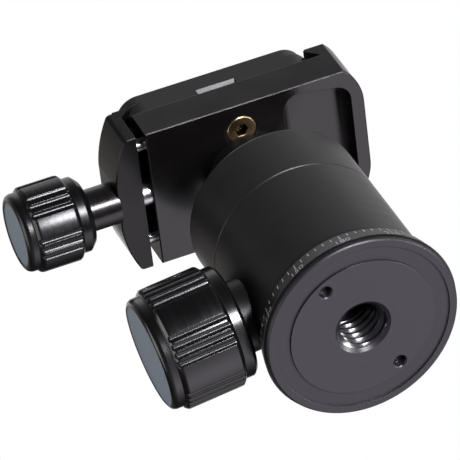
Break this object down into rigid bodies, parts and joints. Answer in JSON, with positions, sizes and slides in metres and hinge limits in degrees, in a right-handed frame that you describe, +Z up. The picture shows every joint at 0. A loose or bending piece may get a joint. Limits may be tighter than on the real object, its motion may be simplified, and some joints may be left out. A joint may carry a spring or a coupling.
{
  "type": "tripod ball head",
  "caption": "Compact ball head with panning base, wedge lock knob, drop notch and a screw-operated dovetail clamp holding its quick-release plate.",
  "frame": {"origin": "centre of the tripod socket's mouth, in the plane of the bottom face", "axes": "+Z up along the pan axis from the bottom face to the clamp, -X towards the clamp knob, -Y towards the clamp's open end with the safety pin, +Y towards the drop notch"},
  "size_m": [0.0695, 0.0374, 0.0728],
  "materials": {
    "disc_black": "fine-turned black anodised",
    "socket_black": "fine-turned black anodised",
    "housing_black": "satin black anodised",
    "collar_black": "satin black anodised",
    "ball_black": "polished black anodised",
    "clamp_black": "satin black anodised",
    "jaw_black": "satin black anodised",
    "sleeve_black": "glossy black anodised",
    "plate_black": "satin black anodised",
    "knob_black": "glossy black anodised",
    "insert_grey": "matte blue-grey",
    "bearing_polymer": "natural acetal",
    "bare_aluminium": "machined",
    "steel": "machined",
    "brass": "turned",
    "pad_rubber": "matte"
  },
  "bodies": {
    "base": {"base_plate": "disc_black", "tripod_socket": "socket_black", "pan_washer_lower": "bearing_polymer", "pan_washer_upper": "bearing_polymer", "pan_retainer": "steel", "pan_retainer_screws": "steel"},
    "housing": {"main_housing": "housing_black", "top_collar": "collar_black", "upper_ball_seat": "bearing_polymer", "lock_boss": "collar_black", "lock_washer": "steel"},
    "wedge": {"wedge_pin": "steel"},
    "lock_handle": {"lock_stud": "steel", "lock_knob": "knob_black", "lock_knob_insert": "insert_grey"},
    "cup": {"lift_cup": "bare_aluminium"},
    "liner": {"ball_liner": "bearing_polymer"},
    "ball": {"ball_and_stem": "ball_black"},
    "clamp": {"clamp_base": "clamp_black", "clamp_bolt": "steel", "safety_plug": "brass", "safety_spring": "steel"},
    "stop_pin": {"safety_pin": "steel"},
    "jaw": {"moving_jaw": "jaw_black", "guide_pins": "steel", "clamp_sleeve": "sleeve_black"},
    "clamp_handle": {"clamp_screw": "steel", "clamp_knob": "knob_black", "clamp_knob_insert": "insert_grey"},
    "plate": {"quick_release_plate": "plate_black", "plate_pads": "pad_rubber"},
    "screw_carrier": {"screw_keeper": "steel"},
    "screw": {"camera_screw": "steel"}
  },
  "joints": [
    {"name": "pan", "type": "hinge", "parent": "base", "child": "housing", "pos_m": [0, 0, 0], "axis": [0, 0, 1], "continuous": true},
    {"name": "wedge_slide", "type": "slide", "parent": "housing", "child": "wedge", "axis": [0.9942, -0.108, 0], "range_m": [0, 0.00033333]},
    {"name": "lock_turn", "type": "hinge", "parent": "wedge", "child": "lock_handle", "pos_m": [0, 0, 0.01628], "axis": [0.9942, -0.108, 0], "range_deg": [0, 120]},
    {"name": "lift_slide", "type": "slide", "parent": "housing", "child": "cup", "axis": [0, 0, 1], "range_m": [0, 0.000193]},
    {"name": "ball_roll", "type": "hinge", "parent": "housing", "child": "liner", "pos_m": [0, 0, 0.0351], "axis": [0, 1, 0], "range_deg": [-30, 30]},
    {"name": "ball_pitch", "type": "hinge", "parent": "liner", "child": "ball", "pos_m": [0, 0, 0.0351], "axis": [-1, 0, 0], "range_deg": [-30, 90]},
    {"name": "clamp_spin", "type": "hinge", "parent": "ball", "child": "clamp", "pos_m": [0, 0, 0.0548], "axis": [0, 0, 1], "continuous": true},
    {"name": "safety_plunge", "type": "slide", "parent": "clamp", "child": "stop_pin", "axis": [0, 0, -1], "range_m": [0, 0.0012], "stiffness_N_per_m": 250, "springref_m": -0.0003, "deforming": ["safety_spring"]},
    {"name": "jaw_slide", "type": "slide", "parent": "clamp", "child": "jaw", "axis": [-1, 0, 0], "range_m": [0, 0.004]},
    {"name": "clamp_knob_turn", "type": "hinge", "parent": "jaw", "child": "clamp_handle", "pos_m": [0, 0, 0.05784], "axis": [-1, 0, 0], "range_deg": [0, 1800]},
    {"name": "plate_slide", "type": "slide", "parent": "clamp", "child": "plate", "axis": [0, -1, 0], "range_m": [-0.0006, 0.0186]},
    {"name": "screw_slide", "type": "slide", "parent": "plate", "child": "screw_carrier", "axis": [0, 1, 0], "range_m": [-0.004, 0.004]},
    {"name": "screw_spin", "type": "hinge", "parent": "screw_carrier", "child": "screw", "pos_m": [-0.00115, 0, 0.065], "axis": [0, 0, 1], "continuous": true}
  ],
  "couplings": [
    {"joint": "lock_turn", "follows": "wedge_slide", "rad_per_m": 6283.2},
    {"joint": "lift_slide", "follows": "wedge_slide", "ratio": 0.57735},
    {"joint": "clamp_knob_turn", "follows": "jaw_slide", "rad_per_m": 7854}
  ]
}
